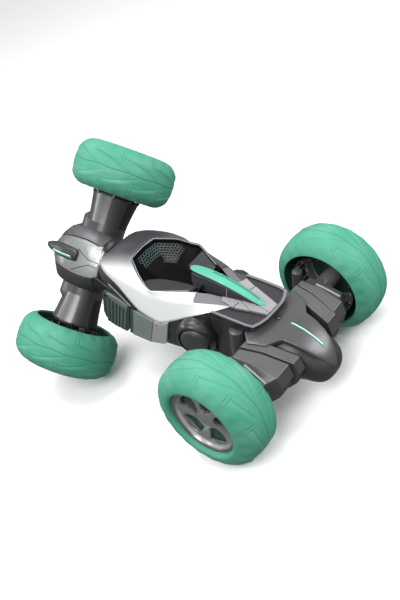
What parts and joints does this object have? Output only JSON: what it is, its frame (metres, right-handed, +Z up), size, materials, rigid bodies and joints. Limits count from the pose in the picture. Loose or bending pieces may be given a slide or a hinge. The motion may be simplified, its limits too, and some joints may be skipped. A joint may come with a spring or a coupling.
{
  "type": "rc stunt car",
  "caption": "Four-wheel-drive twist stunt car with big soft tyres on axle legs, a front end that twists about the body, an open cockpit and a finned tail.",
  "frame": {"origin": "on the floor under the middle of the bounding box, with both rear tyres and the lower front tyre standing on the floor", "axes": "+X forward towards the front axle, +Y to the left side of the car, +Z up; the body is pitched nose up because the front axle rests twisted by 45 degrees"},
  "size_m": [0.3428, 0.234, 0.2215],
  "materials": {
    "tyre_mint": "matte soft foam-filled rubber, mint green",
    "rim_gunmetal": "metallic gunmetal paint on plastic",
    "steel": "bright",
    "nylon": "natural nylon",
    "shell_silver": "metallic silver paint fading to graphite",
    "canopy_black": "high gloss",
    "trim_black": "satin",
    "trim_grey": "satin metallic",
    "fin_mint": "satin",
    "light_strip": "clear diffuser",
    "board_green": "solder mask",
    "battery_can": "sleeved cells",
    "plastic_graphite": "semi-gloss moulded"
  },
  "bodies": {
    "chassis": {"body_shell": "shell_silver", "canopy_bowl": "canopy_black", "canopy_frame": "trim_grey", "spine_base": "plastic_graphite", "spine_fin": "fin_mint", "tail_deck_left": "trim_grey", "tail_deck_right": "trim_grey", "chassis_pan": "plastic_graphite", "battery_door_pin": "steel", "battery_pack": "battery_can", "circuit_board": "board_green", "twist_motor": "steel", "twist_bush": "nylon", "rear_leg_left": "plastic_graphite", "rear_motor_left": "steel", "rear_leg_right": "plastic_graphite", "rear_motor_right": "steel", "rear_cover": "plastic_graphite", "rear_housing": "plastic_graphite", "rear_light": "light_strip", "rear_cover_screw": "steel", "vent_left": "trim_grey", "vent_right": "trim_grey", "turbine_ring_left": "plastic_graphite", "turbine_cap_left": "plastic_graphite", "turbine_ring_right": "plastic_graphite", "turbine_cap_right": "plastic_graphite"},
    "battery_door": {"battery_door": "plastic_graphite"},
    "power_switch": {"power_switch": "trim_black"},
    "twist_pinion": {"twist_pinion": "steel"},
    "front_end": {"twist_shaft": "steel", "twist_gear": "nylon", "front_leg_left": "plastic_graphite", "front_motor_left": "steel", "front_leg_right": "plastic_graphite", "front_motor_right": "steel", "front_nose_cover": "shell_silver", "front_housing": "plastic_graphite", "front_horn": "trim_black", "front_light": "light_strip"},
    "rear_left_wheel": {"rear_tyre_left": "tyre_mint", "rear_rim_left": "rim_gunmetal", "rear_axle_left": "steel", "rear_wheel_gear_left": "nylon"},
    "rear_left_pinion": {"rear_pinion_left": "steel"},
    "rear_right_wheel": {"rear_tyre_right": "tyre_mint", "rear_rim_right": "rim_gunmetal", "rear_axle_right": "steel", "rear_wheel_gear_right": "nylon"},
    "rear_right_pinion": {"rear_pinion_right": "steel"},
    "front_left_wheel": {"front_tyre_left": "tyre_mint", "front_rim_left": "rim_gunmetal", "front_axle_left": "steel", "front_wheel_gear_left": "nylon"},
    "front_left_pinion": {"front_pinion_left": "steel"},
    "front_right_wheel": {"front_tyre_right": "tyre_mint", "front_rim_right": "rim_gunmetal", "front_axle_right": "steel", "front_wheel_gear_right": "nylon"},
    "front_right_pinion": {"front_pinion_right": "steel"}
  },
  "joints": [
    {"name": "front_twist", "type": "hinge", "parent": "chassis", "child": "front_end", "pos_m": [0.10205, 0, 0.111], "axis": [0.9652, 0, 0.2614], "range_deg": [0, 90]},
    {"name": "twist_pinion_spin", "type": "hinge", "parent": "chassis", "child": "twist_pinion", "pos_m": [0.04305, 0, 0.07638], "axis": [0.9652, 0, 0.2614], "range_deg": [-315, 0]},
    {"name": "battery_door_hinge", "type": "hinge", "parent": "chassis", "child": "battery_door", "pos_m": [-0.02995, 0, 0.04832], "axis": [0, 1, 0], "range_deg": [0, 100]},
    {"name": "power_switch_slide", "type": "slide", "parent": "chassis", "child": "power_switch", "axis": [0.9652, 0, 0.2614], "range_m": [0, 0.004]},
    {"name": "rear_left_wheel_spin", "type": "hinge", "parent": "chassis", "child": "rear_left_wheel", "pos_m": [-0.11416, 0.093, 0.05246], "axis": [0, 1, 0], "continuous": true},
    {"name": "rear_left_pinion_spin", "type": "hinge", "parent": "chassis", "child": "rear_left_pinion", "pos_m": [-0.10335, 0.06, 0.05538], "axis": [0, 1, 0], "continuous": true},
    {"name": "rear_right_wheel_spin", "type": "hinge", "parent": "chassis", "child": "rear_right_wheel", "pos_m": [-0.11416, -0.093, 0.05246], "axis": [0, 1, 0], "continuous": true},
    {"name": "rear_right_pinion_spin", "type": "hinge", "parent": "chassis", "child": "rear_right_pinion", "pos_m": [-0.12497, -0.06, 0.04953], "axis": [0, 1, 0], "continuous": true},
    {"name": "front_left_wheel_spin", "type": "hinge", "parent": "front_end", "child": "front_left_wheel", "pos_m": [0.11924, 0.06576, 0.04753], "axis": [0.1848, 0.7071, -0.6825], "continuous": true},
    {"name": "front_left_pinion_spin", "type": "hinge", "parent": "front_end", "child": "front_left_pinion", "pos_m": [0.12395, 0.04243, 0.07298], "axis": [0.1848, 0.7071, -0.6825], "continuous": true},
    {"name": "front_right_wheel_spin", "type": "hinge", "parent": "front_end", "child": "front_right_wheel", "pos_m": [0.08486, -0.06576, 0.17448], "axis": [0.1848, 0.7071, -0.6825], "continuous": true},
    {"name": "front_right_pinion_spin", "type": "hinge", "parent": "front_end", "child": "front_right_pinion", "pos_m": [0.08015, -0.04243, 0.14903], "axis": [0.1848, 0.7071, -0.6825], "continuous": true}
  ],
  "couplings": [
    {"joint": "twist_pinion_spin", "follows": "front_twist", "ratio": -3.5},
    {"joint": "rear_left_pinion_spin", "follows": "rear_left_wheel_spin", "ratio": -2.5},
    {"joint": "rear_right_pinion_spin", "follows": "rear_right_wheel_spin", "ratio": -2.5},
    {"joint": "front_left_pinion_spin", "follows": "front_left_wheel_spin", "ratio": -2.5},
    {"joint": "front_right_pinion_spin", "follows": "front_right_wheel_spin", "ratio": -2.5}
  ]
}
